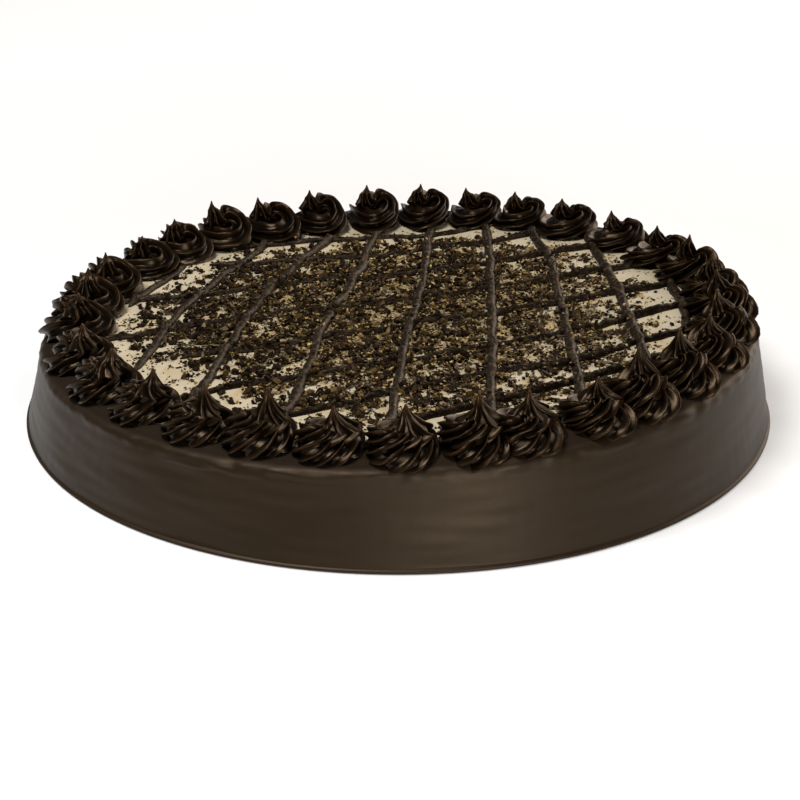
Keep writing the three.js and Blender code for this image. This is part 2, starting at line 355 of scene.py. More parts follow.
def cream_material():
    """Whipped cream icing: matt, pale and a little see-through, with golden stains and specks of chocolate
    powder that thicken towards the middle."""
    material, tree, output, place = new_material("whipped cream icing")
    cloud = add_node(tree, "ShaderNodeTexNoise", {"Scale": per_metre(14), "Detail": 4.0}, {"Vector": place})
    grain = add_node(tree, "ShaderNodeTexNoise", {"Scale": per_metre(1.1), "Detail": 4.0, "Roughness": 0.65},
                     {"Vector": place})
    ramp = add_node(tree, "ShaderNodeValToRGB", links={"Fac": cloud.outputs["Fac"]})
    ramp.color_ramp.elements[0].position = 0.3
    ramp.color_ramp.elements[0].color = linear("#b3a68b")
    ramp.color_ramp.elements[1].position = 0.7
    ramp.color_ramp.elements[1].color = linear("#c5b89e")
    distance = add_node(tree, "ShaderNodeVectorMath", operation="LENGTH", links={0: place})
    reach = add_node(tree, "ShaderNodeMapRange",
                     {"From Min": 45 * MM, "From Max": 95 * MM, "To Min": 0.22, "To Max": -0.01},
                     {"Value": distance.outputs["Value"]})
    patch = add_node(tree, "ShaderNodeTexNoise", {"Scale": per_metre(7), "Detail": 3.0}, {"Vector": place})
    stain = add_node(tree, "ShaderNodeMath", operation="ADD",
                     links={0: patch.outputs["Fac"], 1: reach.outputs["Result"]})
    stained = add_node(tree, "ShaderNodeMapRange", {"From Min": 0.5, "From Max": 0.8, "To Max": 0.85},
                       {"Value": stain.outputs["Value"]})
    golden = add_node(tree, "ShaderNodeMix", data_type="RGBA", values={7: linear("#a88d58")},
                      links={0: stained.outputs["Result"], 6: ramp.outputs["Color"]})
    amount = add_node(tree, "ShaderNodeMath", operation="ADD",
                      links={0: grain.outputs["Fac"], 1: reach.outputs["Result"]})
    dusted = add_node(tree, "ShaderNodeMapRange", {"From Min": 0.68, "From Max": 0.78},
                      {"Value": amount.outputs["Value"]})
    colour = add_node(tree, "ShaderNodeMix", data_type="RGBA", values={7: linear("#3a2815")},
                      links={0: dusted.outputs["Result"], 6: golden.outputs[2]})
    relief = add_node(tree, "ShaderNodeBump", {"Strength": 0.4, "Distance": 0.2 * MM},
                      {"Height": grain.outputs["Fac"]})
    finish_material(tree, output, {"Roughness": 0.62, "Specular IOR Level": 0.4, "Subsurface Weight": 0.15,
                                   "Subsurface Radius": (0.002, 0.0015, 0.001)},
                    {"Base Color": colour.outputs[2], "Normal": relief.outputs["Normal"]})
    return material


def grated_material(name, tones, roughness):
    """Grated chocolate: each bit has its own tone, from dark broken faces to dusty brown ones, with hardly
    any shine. tones is a list of places along that range and their colours."""
    material, tree, output, place = new_material(name)
    tone = add_node(tree, "ShaderNodeAttribute", attribute_name="tone")
    ramp = add_node(tree, "ShaderNodeValToRGB", links={"Fac": tone.outputs["Fac"]})
    steps = ramp.color_ramp.elements
    for index, (position, colour) in enumerate(tones):
        step = steps[index] if index < 2 else steps.new(position)
        step.position = position
        step.color = linear(colour)
    grit = add_node(tree, "ShaderNodeTexNoise", {"Scale": per_metre(0.5), "Detail": 3.0}, {"Vector": place})
    relief = add_node(tree, "ShaderNodeBump", {"Strength": 0.5, "Distance": 0.1 * MM},
                      {"Height": grit.outputs["Fac"]})
    finish_material(tree, output, {"Roughness": roughness, "Specular IOR Level": 0.12,
                                   "Specular Tint": linear("#ffdcb4")},
                    {"Base Color": ramp.outputs["Color"], "Normal": relief.outputs["Normal"]})
    return material


SPREAD_ICING = spread_icing_material()
PIPED_ICING = piped_icing_material("piped chocolate ganache", "#170d05", "#221509", 0.27)
LOWER_ICING = piped_icing_material("piped chocolate lattice", "#0e0905", "#170f08", 0.36, dusting=0.35)
UPPER_ICING = piped_icing_material("dusted chocolate lattice", "#150f0a", "#1f1711", 0.42, dusting=0.75)
CREAM = cream_material()
CHIP = grated_material("grated dark chocolate",
                       [(0.0, "#060302"), (0.5, "#1a1008"), (0.85, "#37270f"), (1.0, "#6b5533")], 0.55)
FLAKE = grated_material("chocolate flakes",
                        [(0.0, "#0a0603"), (0.4, "#21180f"), (0.8, "#453725"), (1.0, "#746448")], 0.5)
CRUMB = grated_material("chocolate crumbs",
                        [(0.0, "#050201"), (0.38, "#1f1409"), (0.58, "#5f4b2a"), (0.8, "#9a7f4c"),
                         (1.0, "#bfa676")], 0.6)


# The iced cake.
BODY_COLUMNS = 720

# Thin raised smears left by the palette knife: start and end angle in degrees, start and end height, width
# and rise in millimetres.
SMEARS = [
    (243, 252, 27.6, 26.2, 0.9, 0.4),
    (252, 262, 28.4, 27.0, 0.8, 0.45),
    (236, 247, 25.8, 26.8, 0.5, 0.25),
    (262, 268, 28.2, 28.6, 0.9, 0.35),
    (330, 338, 28.0, 27.4, 0.6, 0.25),
    (296, 306, 27.8, 27.2, 0.7, 0.25),
]

# The wall icing laps over the cream as far in as this radius, and by LAP_FRONT further at the front.
LAP_RADIUS = 111.5
LAP_FRONT = 2.5
LAP_THICKNESS = 0.45
LAP_ROWS = 14
BED = TOP_HEIGHT - CREAM_DEPTH - 0.3  # level of the body under the cream

# Places where the lap stops short, or with a minus goes further in: angle in degrees, width in degrees,
# how far short in millimetres.
LAP_GAPS = [(214.5, 1.6, 5.0), (230, 2.2, 5.5), (263, 5, -2.0), (275, 5, -3.5)]


def cream_height(x, y):
    """Height of the cream above its level: broad waves from the knife and smaller unevenness."""
    flat = np.stack([x, y, np.zeros_like(x)], axis=-1)
    return 0.28 * uneven(flat, 30, 21) + 0.1 * uneven(flat, 9, 22)


def body_profile():
    """The outline from the middle of the underside, out round the foot's lip, up the wall and over the
    rounded rim: radius and height in each row."""
    wall_foot = FOOT_RADIUS - FOOT_LIP_STEP
    under = [(40, 0), (90, 0), (124, 0), (FOOT_RADIUS - 0.5, 0)]
    lip_turn = np.linspace(-0.35, 0.5, 7) * math.pi
    lip_half = FOOT_LIP_HEIGHT / 2
    lip = np.stack([FOOT_RADIUS - lip_half + lip_half * np.cos(lip_turn),
                    lip_half + lip_half * np.sin(lip_turn)], axis=-1)
    rise = np.linspace(0, 1, 96)[:, None]
    low = np.array([wall_foot, FOOT_LIP_HEIGHT + 0.4])
    high = np.array([RIM_RADIUS, TOP_HEIGHT - RIM_ROUNDING])
    wall = low + (high - low) * rise
    rim_turn = np.linspace(0.08, 0.5, 9) * math.pi
    rim = np.stack([RIM_RADIUS - RIM_ROUNDING + RIM_ROUNDING * np.cos(rim_turn),
                    TOP_HEIGHT - RIM_ROUNDING + RIM_ROUNDING * np.sin(rim_turn)], axis=-1)
    return np.concatenate([under, lip, wall, rim])


def lap_rings(angle):
    """The icing's lap over the cream: from the rim in to an uneven edge, lumpiest near the rim, down through
    the cream's surface, and back out to the bed under the cream."""
    round_cake = np.stack([70 * np.cos(angle), 70 * np.sin(angle), np.zeros_like(angle)], axis=-1)
    front = step_up(0.55, 0.9, -np.sin(angle))
    edge = LAP_RADIUS - LAP_FRONT * front
    edge = edge + 0.9 * uneven(round_cake, 22, 14) + 0.35 * uneven(round_cake, 6, 15)
    for middle, width, gap in LAP_GAPS:
        edge = edge + gap * np.exp(-((np.degrees(angle) - middle) / width) ** 2)
    outer = RIM_RADIUS - RIM_ROUNDING
    share = np.linspace(0, 1, LAP_ROWS)[1:, None]
    radius = outer + (edge - outer) * share
    thick = LAP_THICKNESS * np.sqrt(np.clip(1 - share ** 6, 0, 1)) - 0.12 * step_up(0.9, 1, share)
    on_cream = 1 - step_up(CREAM_RADIUS - 2, CREAM_RADIUS + 2, radius)
    x, y = radius * np.cos(angle), radius * np.sin(angle)
    dabs = 0.12 * uneven(np.stack([x, y, np.zeros_like(x)], axis=-1), 4, 16)
    height = TOP_HEIGHT + (cream_height(x, y) + thick) * on_cream + dabs * (1 - share)
    lap = np.stack([x, y, height], axis=-1)
    under = []
    for radius, height in [(119, TOP_HEIGHT - 1.2), (118.8, BED), (90, BED), (40, BED)]:
        ring = [radius * np.cos(angle), radius * np.sin(angle), np.full_like(angle, height)]
        under.append(np.stack(ring, axis=-1))
    return np.concatenate([lap, under])


def add_body():
    """The body is its outline turned round Z, with the lap over the cream. On the wall the radius grows and
    shrinks by broad knife strokes, finer ones along the wall, more of both near the rim, and the smears."""
    outline = body_profile()
    angle = np.linspace(0, TURN, BODY_COLUMNS, endpoint=False)
    radius, height = outline[:, :1], outline[:, 1:]
    stretched = np.stack(np.broadcast_arrays(60 * np.cos(angle), 60 * np.sin(angle), height), axis=-1)
    relief = 0.13 * uneven(stretched * (1, 1, 0.8), 22, 11)
    relief = relief + 0.045 * uneven(stretched * (0.8, 0.8, 2.2), 10, 12)
    relief = relief + 0.012 * uneven(stretched * (4, 4, 0.6), 8, 13)
    near_rim = step_up(25.5, 28.5, height)
    relief = relief + 0.16 * near_rim * uneven(stretched * (2.2, 2.2, 1), 9, 17)
    relief = relief + 0.08 * near_rim * uneven(stretched * (2.2, 2.2, 1), 4, 18)
    for start, end, low, high, width, rise in SMEARS:
        share = (np.degrees(angle) - start) / (end - start)
        line = low + (high - low) * share + 0.25 * np.sin(share * 9)
        along = step_up(-0.1, 0.2, share) * (1 - step_up(0.75, 1.1, share))
        relief = relief + rise * along * np.exp(-((height - line) / width) ** 2)
    on_wall = step_up(0.2, 2.5, height) * step_up(60, 120, radius)
    reach = radius + relief * on_wall
    rings = np.stack(np.broadcast_arrays(reach * np.cos(angle), reach * np.sin(angle), height), axis=-1)
    points, faces = capped_rings(np.concatenate([rings, lap_rings(angle)]), (0, 0, 0), (0, 0, BED))
    body = add_piece("iced_body", leaned(points), faces, SPREAD_ICING)
    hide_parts("cake_body")


# The cream.
CREAM_ROWS = 150
CREAM_COLUMNS = 400


def add_cream():
    """A disc of rings, raised by the cream's unevenness, whose edge turns down into the bed."""
    flat = np.linspace(2, CREAM_RADIUS - 1, CREAM_ROWS)
    edge = [CREAM_RADIUS - 0.3, CREAM_RADIUS, CREAM_RADIUS, CREAM_RADIUS - 4]
    edge_drop = [0.15, 0.5, CREAM_DEPTH, CREAM_DEPTH]
    radius = np.concatenate([flat, edge])[:, None]
    drop = np.concatenate([np.zeros(CREAM_ROWS), edge_drop])[:, None]
    angle = np.linspace(0, TURN, CREAM_COLUMNS, endpoint=False)
    x, y = radius * np.cos(angle), radius * np.sin(angle)
    top = TOP_HEIGHT + cream_height(x, y) * (drop == 0) - drop
    rings = np.stack([x, y, top], axis=-1)[::-1]
    middle = TOP_HEIGHT + float(cream_height(np.array(0.0), np.array(0.0)))
    points, faces = capped_rings(rings, (0, 0, TOP_HEIGHT - CREAM_DEPTH), (0, 0, middle))
    cream = add_piece("cream_layer", leaned(points), faces, CREAM)
    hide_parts("cream_top")


# The lattice.
ROPE_SPACING = 0.8  # distance between a rope's rings
ROPE_SIDES = 14
MAP_REACH = 120  # half the side of a map of the ropes
MAP_CELL = 0.4


def rope_line(route):
    """Evenly spaced points on a smooth curve through a route's points."""
    stops = np.array(route, float)
    lengths = np.concatenate([[0], np.cumsum(np.linalg.norm(np.diff(stops, axis=0), axis=1))])
    count = int(lengths[-1] / ROPE_SPACING)
    return smooth_through(lengths, stops, np.linspace(0, lengths[-1], count))


def lift_map(routes, width):
    """A square map of how high a set of ropes stands over the cream, as a share of a rope's height: half an
    ellipse across the nearest rope, laid down round each point of the ropes' lines."""
    cells = int(2 * MAP_REACH / MAP_CELL)
    lift = np.zeros((cells, cells))
    near = np.arange(-int(width / MAP_CELL), int(width / MAP_CELL) + 1)
    for route in routes:
        line = rope_line(route)
        cell = np.floor((line + MAP_REACH) / MAP_CELL).astype(int)
        column = cell[:, 0, None, None] + near[None, :, None]
        row = cell[:, 1, None, None] + near[None, None, :]
        gap = np.hypot((column + 0.5) * MAP_CELL - MAP_REACH - line[:, 0, None, None],
                       (row + 0.5) * MAP_CELL - MAP_REACH - line[:, 1, None, None])
        share = np.sqrt(np.clip(1 - (gap / (width / 2)) ** 2, 0, 1))
        np.maximum.at(lift, tuple(np.broadcast_arrays(column, row)), share)
    return lift


def rope_lift(points, lift):
    """The share of a rope's height over each (x, y), read from a map."""
    cell = np.clip(((points + MAP_REACH) / MAP_CELL).astype(int), 0, len(lift) - 1)
    return lift[cell[:, 0], cell[:, 1]]


def rope_rings(route, size, seed, under=None):
    """A section carried along the route: an oval with a flatter foot, lifted where it crosses the ropes under
    it. Its width and height are uneven along the way, and less towards the left, or for the lower set
    everywhere but at the right."""
    line = rope_line(route)
    along = np.gradient(line, axis=0)
    along /= np.linalg.norm(along, axis=1)[:, None]
    across = np.stack([-along[:, 1], along[:, 0]], axis=-1)
    flat = np.concatenate([line, np.full((len(line), 1), 7.0 * seed)], axis=1)
    line = line + across * (0.22 * uneven(flat, 22, seed + 300))[:, None]
    fuller = step_up(-80, -45, line[:, 0]) if under is not None else step_up(10, 70, line[:, 0])
    width = size[0] / 2 * (0.94 + 0.08 * uneven(flat, 13, seed + 100) + 0.05 * uneven(flat, 3, seed + 150))
    height = size[1] * (0.94 + 0.08 * uneven(flat, 14, seed + 200) + 0.08 * uneven(flat, 3, seed + 250))
    width, height = width * (0.8 + 0.2 * fuller), height * (0.8 + 0.2 * fuller)
    base = cream_height(line[:, 0], line[:, 1])
    if under is not None:
        crossing = LOWER_ROPE[1] * rope_lift(line, under)
        kernel = np.hanning(9)
        base = base + np.convolve(crossing, kernel / kernel.sum(), "same") * 0.75 + 0.1
    turn = np.linspace(0, TURN, ROPE_SIDES, endpoint=False)
    side = np.cos(turn)[None, :] * width[:, None]
    top = np.where(np.sin(turn) > 0, np.sin(turn), 0.35 * np.sin(turn))[None, :] * height[:, None]
    rings = np.empty((len(line), ROPE_SIDES, 3))
    rings[..., :2] = line[:, None] - across[:, None] * side[..., None]
    rings[..., 2] = TOP_HEIGHT + base[:, None] + top
    middle = np.concatenate([line, (TOP_HEIGHT + base)[:, None]], axis=1)
    return rings, middle


def add_ropes(name, routes, size, material, seed, under=None):
    """All ropes of one set in one mesh. A rope's ends shrink to a point."""
    all_points, all_faces, start = [], [[], [], []], 0
    for index, route in enumerate(routes):
        rings, middle = rope_rings(route, size, seed + index, under)
        taper = np.ones(len(rings))
        taper[:5] = taper[-5:][::-1] = (0.25, 0.5, 0.7, 0.85, 0.95)
        rings = middle[:, None] + (rings - middle[:, None]) * taper[:, None, None]
        points, faces = capped_rings(rings, middle[0], middle[-1])
        for kept, new in zip(all_faces, faces):
            kept.append(new + start)
        all_points.append(points)
        start += len(points)
    joined = [np.concatenate(kept) for kept in all_faces]
    ropes = add_piece(name, leaned(np.concatenate(all_points)), joined, material)


LOWER_LIFT_MAP = lift_map(LOWER_ROPES, LOWER_ROPE[0])
UPPER_LIFT_MAP = lift_map(UPPER_ROPES, UPPER_ROPE[0])
NEAR_LOWER_MAP = lift_map(LOWER_ROPES, LOWER_ROPE[0] + 1.2)


# A rosette is one rope from a star nozzle, laid in a turn and a half that rises as it goes round, and then
# drawn up to a tip. Columns of the table: share of the way along, the nozzle's turn in degrees, how far the
# rope's middle lies from the turn's middle, its height, its half-width, its half-height, how far it is drawn
# upright in degrees, the depth of a groove, how far the ridges have rolled round the rope, in degrees, how
# much wider they stand on its outer side than on its inner one, and how far clockwise of the tip the turn's
# middle lies. Lengths are in millimetres.
SWIRL = np.array([
    (0.000, -450, 5.4, 1.4, 0.6, 0.6, 0, 0.00, -335, 0.2, 3.0),
    (0.020, -442, 5.6, 1.5, 3.6, 2.4, 0, 0.80, -332, 0.2, 3.0),
    (0.060, -424, 5.8, 1.7, 5.6, 3.4, 0, 1.70, -320, 0.2, 3.0),
    (0.120, -394, 6.0, 1.9, 6.8, 4.0, 0, 1.80, -290, 0.2, 3.0),
    (0.280, -280, 6.2, 2.1, 6.6, 4.0, 0, 1.80, -180, 0.2, 3.2),
    (0.400, -200, 6.2, 2.2, 5.6, 3.7, 0, 1.80, -155, 0.0, 4.4),
    (0.480, -145, 5.2, 3.0, 4.4, 3.9, 0, 1.75, -130, 0.0, 5.4),
    (0.570, -90, 4.4, 4.2, 3.9, 4.2, 0, 1.75, -110, 0.0, 5.6),
    (0.690, -20, 4.8, 5.5, 4.3, 3.9, 5, 1.90, -70, 0.0, 4.8),
    (0.780, 38, 3.9, 6.0, 5.6, 4.6, 38, 1.95, -5, 0.0, 3.7),
    (0.835, 70, 3.3, 6.2, 6.9, 6.0, 70, 2.10, 35, 0.0, 3.2),
    (0.865, 86, 3.0, 6.5, 7.6, 7.2, 88, 2.30, 58, 0.0, 3.0),
    (0.890, 90, 3.0, 7.6, 6.1, 6.0, 90, 2.00, 71, 0.0, 3.0),
    (0.915, 92, 3.0, 8.7, 4.3, 4.3, 90, 1.50, 80, 0.0, 3.0),
    (0.940, 94, 3.0, 9.9, 2.9, 2.9, 90, 1.00, 86, 0.0, 3.0),
    (0.963, 96, 3.0, 11.1, 1.9, 1.9, 90, 0.60, 90, 0.0, 3.0),
    (0.982, 97, 3.0, 12.7, 1.1, 1.1, 90, 0.30, 92, 0.0, 3.0),
    (1.000, 98, 3.0, 14.9, 0.35, 0.35, 90, 0.00, 93, 0.0, 3.0),
])
SWIRL_HEIGHT = 15  # height that a rosette's tip has in the table
BODY_MIDDLE = 3.0  # how far clockwise of the tip the middle of the whole rosette lies
ROSETTE_SUNK = 0.8  # how far a rosette's foot goes into the icing
CORD = 0.74  # half-width of a ridge
RIM_BEND = (114, 127)  # from where to where outward a drape bends down

# Heights of a rosette drawn up to a long tip, and the same heights in a domed one with a short tip.
DRAWN_HEIGHTS = [0, 4, 7, 8, 9, 10, 11.2, 12.7, 15]
DOMED_HEIGHTS = [0, 4.8, 8.5, 10.0, 11.2, 12.0, 12.5, 13.2, 15]

# Rosettes whose foot hangs further over the rim, by number from nought, with how far in millimetres.
DRAPES = {23: 1.4, 24: 2.0, 25: 1.2}
DRAPE = 0.8  # for all others

# How the rosettes differ round the cake: each list gives a value at some angles in degrees.
# How domed one is, as a share.
DOMES = [(0, 0.5), (20, 0.8), (90, 0.9), (185, 1.0), (215, 0.5), (240, 0.2), (285, 0.1), (300, 0.4),
         (360, 0.5)]
# How far it spreads outward and how far inward, as a share.
OUTWARD = [(0, 1.0), (28, 0.97), (60, 0.93), (120, 0.97), (150, 1.03), (185, 1.06), (205, 1.02),
           (222, 0.95), (260, 0.96), (271, 1.1), (290, 1.12), (340, 1.1), (360, 1.0)]
INWARD = [(0, 1.0), (17, 1.15), (28, 1.4), (41, 1.3), (54, 1.3), (65, 1.2), (75, 1.45), (86, 1.75),
          (97, 1.88), (109, 1.88), (120, 1.75), (131, 1.45), (142, 1.3), (152, 1.18), (176, 1.08),
          (200, 1.0), (245, 1.0), (262, 1.16), (290, 1.16), (315, 1.0), (360, 1.0)]
# How much further round than its solid it stands, in degrees.
NUDGES = [(0, 0.3), (40, 0.0), (195, 0.0), (215, 0.7), (240, 0.9), (325, 0.9), (345, 0.6), (360, 0.3)]
# How much more its ridges roll round the rope before the last half turn, in degrees for each of turn.
TWIST_RATES = [(0, 1.3), (20, 0.8), (40, 0.15), (60, 0.0), (160, 0.0), (190, 0.35), (230, 0.5),
               (290, 0.5), (320, 1.0), (340, 1.3), (360, 1.3)]
# How slim its drawn-up part is, as a share of the width in the table.
SLIMNESS = [(0, 0.8), (20, 0.62), (165, 0.62), (185, 0.85), (205, 1.0), (300, 1.0), (340, 0.95), (360, 0.8)]


def node_tip(name):
    """The topmost corner of a solid, in millimetres."""
    mesh = NODES[name].data
    corners = np.empty(len(mesh.vertices) * 3, np.float32)
    mesh.vertices.foreach_get("co", corners)
    corners = corners.reshape(-1, 3)
    return corners[corners[:, 2].argmax()] / MM


def at_angle(knots, degrees):
    """The value of one of the lists above at an angle, on straight lines between its knots."""
    return np.interp(degrees, *zip(*knots))


def squeezed(angle, before, after):
    """Angles round the cake, kept within a rosette's own stretch: free up to four fifths of the way to the
    neighbour, then ever slower."""
    limit = np.where(angle > 0, after, before)
    share = np.abs(angle) / limit
    held = np.where(share < 0.8, share, 0.8 + 0.26 * np.tanh((share - 0.8) / 0.26))
    return np.sign(angle) * held * limit


def crest_share(phase, half_pitch):
    """1 on a ridge and 0 in the groove: the ridge is a narrow cord of one width, the groove a wide hollow."""
    away = np.abs(phase / math.pi - 2 * np.round(phase / TURN))
    cord = np.minimum(CORD, 0.55 * half_pitch)
    return 0.8 * np.exp(-(away * half_pitch / cord) ** 2.4) + 0.2 * (1 - away) ** 2


def rosette_points(index, tip, before, after):
    """A grid whose rows run along the rope and whose columns follow the ridges, and how near each point is to
    a ridge. A row is an oval round the rope's middle, less the depth of the grooves. Its plane holds the line
    from the turn's middle, and tips back as the rope is drawn upright. The sides are flattened where the
    neighbours press on them, a foot beyond the rim hangs down, and all is turned round the cake by the
    rosette's nudge."""
    draw = np.random.default_rng(500 + index)
    u = np.linspace(0, 1, ROSETTE_ROWS)[:, None]
    v = np.linspace(0, TURN, RIDGES * COLUMNS_PER_RIDGE, endpoint=False)[None, :]
    turn, reach, height, wide, high, upright, depth, roll, spread, middle = (
        smooth_through(SWIRL[:, 0], SWIRL[:, k], u) for k in range(1, 11))
    turn, upright, roll = np.radians(turn), np.radians(upright), np.radians(roll)
    ridge = np.floor(v / TURN * RIDGES + 0.5).astype(int) % RIDGES
    strength = 1 + draw.uniform(-0.14, 0.08, RIDGES)[ridge]
    size = draw.uniform(0.97, 1.05)
    shift = 0.1 * np.sin(v * 2 + draw.uniform(0, TURN)) + draw.uniform(0, TURN)
    facing = math.atan2(tip[1], tip[0])
    degrees = math.degrees(facing) % 360
    domed = np.clip(at_angle(DOMES, degrees) + draw.uniform(-0.2, 0.2), 0, 1)
    stout = 1 + 0.5 * domed * step_up(0.9, 0.96, u) * (1 - step_up(0.98, 1, u))
    wide, high = wide * stout, high * stout
    slim = 1 + (at_angle(SLIMNESS, degrees) - 1) * step_up(0.72, 0.84, u)
    wide, high = wide * slim, high * slim
    roll = roll + at_angle(TWIST_RATES, degrees) * np.minimum(turn + math.radians(20), 0)
    side = v + roll + shift
    crowding = 1 + spread * np.cos(side)
    side = side + spread * np.sin(side)
    half_pitch = math.pi / RIDGES * crowding * np.hypot(wide * np.sin(side), high * np.cos(side))
    crest = crest_share(RIDGES * v, half_pitch)
    hollow = 1.2 * depth * (1 - crest * strength)
    out = (wide - hollow) * np.cos(side) + reach
    up = (high - hollow) * np.sin(side)
    lag = -up * np.sin(upright)
    x = size * (out * np.cos(turn) - lag * np.sin(turn))
    y = size * (out * np.sin(turn) + lag * np.cos(turn) - middle)
    z = height + up * np.cos(upright)
    z = z + (np.interp(z, DRAWN_HEIGHTS, DOMED_HEIGHTS) - z) * domed * (z > 0)
    z = z * tip[2] / SWIRL_HEIGHT
    inward = 1 + (at_angle(INWARD, degrees) - 1) * (1 - step_up(0.6, 0.8, u))
    x = x * np.where(x > 0, at_angle(OUTWARD, degrees), inward)
    points = np.stack([x, y, z], axis=-1)
    peak = step_up(0.88, 1.0, u)
    wobble = 0.14 * np.stack([uneven(points + 60 * index, 7, 700 + k) for k in range(3)], axis=-1)
    points = points + wobble * (1 - peak)[..., None]
    points[..., :2] += draw.uniform(-1.3, 1.3, 2) * peak[..., None] ** 2
    points[..., 2] = np.maximum(points[..., 2], -ROSETTE_SUNK)
    ring = np.hypot(tip[0], tip[1])
    offset = BODY_MIDDLE / ring
    around = np.arctan2(points[..., 1], ring + points[..., 0])
    around = squeezed(around + offset, before, after) - offset + facing
    around = around + math.radians(at_angle(NUDGES, degrees))
    outward = np.hypot(points[..., 1], ring + points[..., 0])
    hang = DRAPES.get(index, DRAPE) * step_up(*RIM_BEND, outward) * (1 - step_up(1, 7, points[..., 2]))
    place = np.stack([outward * np.cos(around), outward * np.sin(around), points[..., 2] - hang], axis=-1)
    # The returned tone rises to 1.6 at the tip, where the material paints a glow of light through the thin
    # icing.
    return place, np.maximum(crest, 1.6 * step_up(0.95, 1.0, u))


def add_rosettes():
    """Each rosette stands in the place of its solid, or nudged a little round from it, and is as high."""
    names = [f"rosette_{i + 1:02d}" for i in range(ROSETTE_COUNT)]
    tips = np.array([node_tip(name) for name in names])
    tips[:, 2] -= TOP_HEIGHT + TOP_SLOPE * tips[:, 0]
    angles = np.arctan2(tips[:, 1], tips[:, 0])
    for index, name in enumerate(names):
        before = (angles[index] - angles[index - 1]) % TURN / 2
        after = (angles[(index + 1) % ROSETTE_COUNT] - angles[index]) % TURN / 2
        rings, crest = rosette_points(index, tips[index], before, after)
        rings[..., 2] += TOP_HEIGHT
        start, end = rings[0].mean(axis=0), rings[-1].mean(axis=0) + (0, 0, 0.1)
        points, faces = capped_rings(rings, start, end)
        faces = [face[:, ::-1] for face in faces]
        # The tones drive the painted shade in the grooves and, above 1, the painted glow at the tip.
        tones = np.concatenate([crest.ravel(), [0.5, 1.6]])
        piece = add_piece(f"piped_{name}", leaned(points), faces, PIPED_ICING, tones=tones)
        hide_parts(name)


# The grated chocolate.
CHIP_COUNT = 8500
FLAKE_COUNT = 4200
CRUMB_COUNT = 24500
STREWN_REACH = 106  # radius beyond which none falls
STREWN_TILT = 0.5  # how far a bit may lean, in radians

# How far out the cream is covered, in millimetres, by the angle round the cake in degrees.
COVER = [(0, 87), (30, 90), (55, 88), (75, 83), (90, 80), (120, 86), (150, 90), (180, 96), (200, 93),
         (212, 86), (225, 80), (236, 86), (250, 97), (280, 99), (310, 100), (335, 94), (360, 87)]


def strewn_places(count, seed, inner, outer):
    """Places in plan, drawn evenly over a disc and kept by chance: most within the cover's edge plus the
    inner distance, ever fewer out to the edge plus the outer one, more in clumps than between them, and few
    on the ropes or close beside the lower ones."""
    draw = np.random.default_rng(seed)
    reach = STREWN_REACH * np.sqrt(draw.uniform(0, 1, count * 5))
    turn = draw.uniform(0, TURN, count * 5)
    places = np.stack([reach * np.cos(turn), reach * np.sin(turn)], axis=-1)
    flat = np.concatenate([places, np.zeros((len(places), 1))], axis=1)
    past = reach - at_angle(COVER, np.degrees(turn)) + 2.5 * uneven(flat, 24, 901)
    wanted = 1 - step_up(inner, outer, past)
    clumps = 0.52 + 0.5 * uneven(flat, 4.5, 900) + 0.2 * uneven(flat, 14, 902)
    wanted = wanted * np.clip(clumps - 0.35 * step_up(-12, 4, past), 0.04, 1)
    wanted = wanted * (1 - 0.96 * (rope_lift(places, UPPER_LIFT_MAP) > 0))
    wanted = wanted * (1 - 0.85 * (rope_lift(places, NEAR_LOWER_MAP) > 0))
    return places[draw.uniform(0, 1, len(places)) < wanted][:count]


def turns_about(axis, angle):
    """Matrices that turn about axis 0, 1 or 2 by each angle."""
    first, second = (axis + 1) % 3, (axis + 2) % 3
    turns = np.zeros((len(angle), 3, 3))
    turns[:, axis, axis] = 1
    turns[:, first, first] = turns[:, second, second] = np.cos(angle)
    turns[:, second, first] = np.sin(angle)
    turns[:, first, second] = -np.sin(angle)
    return turns


def any_turns(draw, count, tilt):
    """Turns about Z by any angle after a tilt about X and Y by up to the given angle."""
    yaw = draw.uniform(0, TURN, count)
    pitch, roll = draw.uniform(-tilt, tilt, (2, count))
    return turns_about(2, yaw) @ turns_about(1, pitch) @ turns_about(0, roll)


def strewn_heights(places, draw, pile):
    """Heights of strewn bits: on the cream or on a rope, plus a pile-up that is highest near the middle."""
    lower = LOWER_ROPE[1] * rope_lift(places, LOWER_LIFT_MAP)
    upper = (UPPER_ROPE[1] + UPPER_LIFT) * rope_lift(places, UPPER_LIFT_MAP)
    reach = np.linalg.norm(places, axis=1)
    heap = pile * (1 - step_up(60, 95, reach)) * draw.uniform(0, 1, len(places)) ** 2
    raised = np.maximum(np.maximum(lower, upper), heap)
    return TOP_HEIGHT + cream_height(places[:, 0], places[:, 1]) + raised


def rough_lump():
    """Corners and faces of a lump about two across: a ring of five corners above one of five turned between
    them, with a corner on top and one below."""
    high_turn = np.arange(5) * TURN / 5
    low_turn = high_turn + TURN / 10
    high = np.stack([0.9 * np.cos(high_turn), 0.9 * np.sin(high_turn), np.full(5, 0.45)], axis=-1)
    low = np.stack([0.9 * np.cos(low_turn), 0.9 * np.sin(low_turn), np.full(5, -0.45)], axis=-1)
    points = np.concatenate([[(0, 0, 1)], high, low, [(0, 0, -1)]])
    faces = []
    for k in range(5):
        after = (k + 1) % 5
        faces += [(0, 1 + k, 1 + after), (1 + k, 6 + k, 1 + after), (1 + after, 6 + k, 6 + after),
                  (11, 6 + after, 6 + k)]
    return points, np.array(faces)


def bit_sizes(draw, half, widths, thicknesses):
    """Each bit's half-length, half-width and half-thickness. The last two are drawn as shares of the first,
    between the two given shares."""
    wide = half * draw.uniform(*widths, len(half))
    thick = half * draw.uniform(*thicknesses, len(half))
    return np.stack([half, wide, thick], axis=1)


